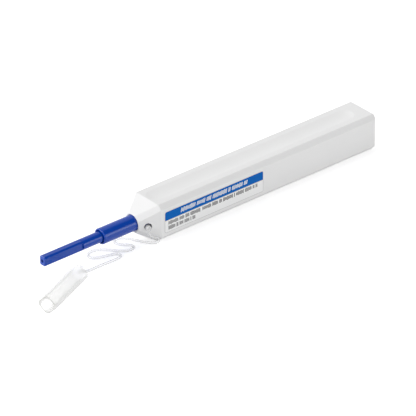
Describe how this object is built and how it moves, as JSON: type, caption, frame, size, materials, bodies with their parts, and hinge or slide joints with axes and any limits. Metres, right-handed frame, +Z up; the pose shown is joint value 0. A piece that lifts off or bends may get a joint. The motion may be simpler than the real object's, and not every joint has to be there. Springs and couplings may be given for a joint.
{
  "type": "fibre connector cleaning pen",
  "caption": "Square-bodied push cleaning pen for fibre ferrules: a sliding nozzle winds cleaning thread past a narrow tip, with a clear cap on a cord.",
  "frame": {"origin": "on the table, under the middle of the pen from nozzle tip to rear face", "axes": "+X along the pen from the nozzle tip to the rear face, +Z up, label on the -Y side"},
  "size_m": [0.1912, 0.0338, 0.0175],
  "materials": {
    "case_plastic": "satin",
    "blue_plastic": "satin",
    "clear_plastic": "polished",
    "cord_plastic": "translucent",
    "label_film": "printed",
    "frame_plastic": "matte",
    "drive_plastic": "matte",
    "bush_plastic": "matte",
    "steel": "turned",
    "spring_steel": "drawn",
    "screw_steel": "plated",
    "cleaning_thread": "woven",
    "used_fibre": "woven"
  },
  "bodies": {
    "case": {"upper_shell": "case_plastic", "bottom_cover": "case_plastic", "cover_label": "label_film", "cam_pin": "steel", "return_spring": "spring_steel", "tether_knot": "cord_plastic", "tether_cord": "cord_plastic", "clear_cap": "clear_plastic"},
    "carriage": {"nozzle_sleeve": "blue_plastic", "reel_frame": "frame_plastic", "frame_cover": "frame_plastic", "frame_screws": "screw_steel", "front_bush": "bush_plastic", "takeup_axle": "steel", "axle_clip": "spring_steel", "supply_axle": "steel", "thread_guide_pins": "steel", "thread_strands": "cleaning_thread", "click_leaf": "spring_steel", "ratchet_pawl": "spring_steel", "brake_leaf": "spring_steel"},
    "nozzle": {"nozzle_tube": "blue_plastic", "nozzle_spring": "spring_steel"},
    "spindle": {"spindle_drum": "drive_plastic", "tip_rod": "steel"},
    "cleaning_head": {"cleaning_tip": "drive_plastic", "cleaning_loop": "cleaning_thread", "tip_spring": "spring_steel"},
    "pinion": {"drive_pinion": "drive_plastic"},
    "takeup": {"takeup_reel": "drive_plastic", "used_thread": "used_fibre"},
    "supply": {"supply_reel": "drive_plastic", "fresh_thread": "cleaning_thread"}
  },
  "joints": [
    {"name": "nozzle_push", "type": "slide", "parent": "case", "child": "carriage", "axis": [1, 0, 0], "range_m": [0, 0.012], "stiffness_N_per_m": 400, "springref_m": -0.012, "deforming": ["return_spring"]},
    {"name": "nozzle_slide", "type": "slide", "parent": "carriage", "child": "nozzle", "axis": [1, 0, 0], "range_m": [0, 0.006], "stiffness_N_per_m": 200, "springref_m": -0.006, "deforming": ["nozzle_spring"]},
    {"name": "spindle_turn", "type": "hinge", "parent": "carriage", "child": "spindle", "pos_m": [0, 0, 0.009], "axis": [1, 0, 0], "range_deg": [0, 180]},
    {"name": "tip_float", "type": "slide", "parent": "spindle", "child": "cleaning_head", "axis": [1, 0, 0], "range_m": [0, 0.001], "stiffness_N_per_m": 300, "springref_m": -0.002, "deforming": ["tip_spring"]},
    {"name": "pinion_spin", "type": "hinge", "parent": "carriage", "child": "pinion", "pos_m": [0.018, 0.0056, 0.009], "axis": [0, 1, 0], "range_deg": [-145, 0]},
    {"name": "takeup_spin", "type": "hinge", "parent": "carriage", "child": "takeup", "pos_m": [0.018, 0, 0.009], "axis": [0, 1, 0], "range_deg": [-145, 0]},
    {"name": "supply_spin", "type": "hinge", "parent": "carriage", "child": "supply", "pos_m": [0.044, 0, 0.009], "axis": [0, 1, 0], "range_deg": [-101, 0]}
  ],
  "couplings": [
    {"joint": "spindle_turn", "follows": "nozzle_push", "rad_per_m": 261.8},
    {"joint": "pinion_spin", "follows": "nozzle_push", "rad_per_m": -208.33},
    {"joint": "takeup_spin", "follows": "nozzle_push", "rad_per_m": -208.33},
    {"joint": "supply_spin", "follows": "nozzle_push", "rad_per_m": -145.35}
  ]
}
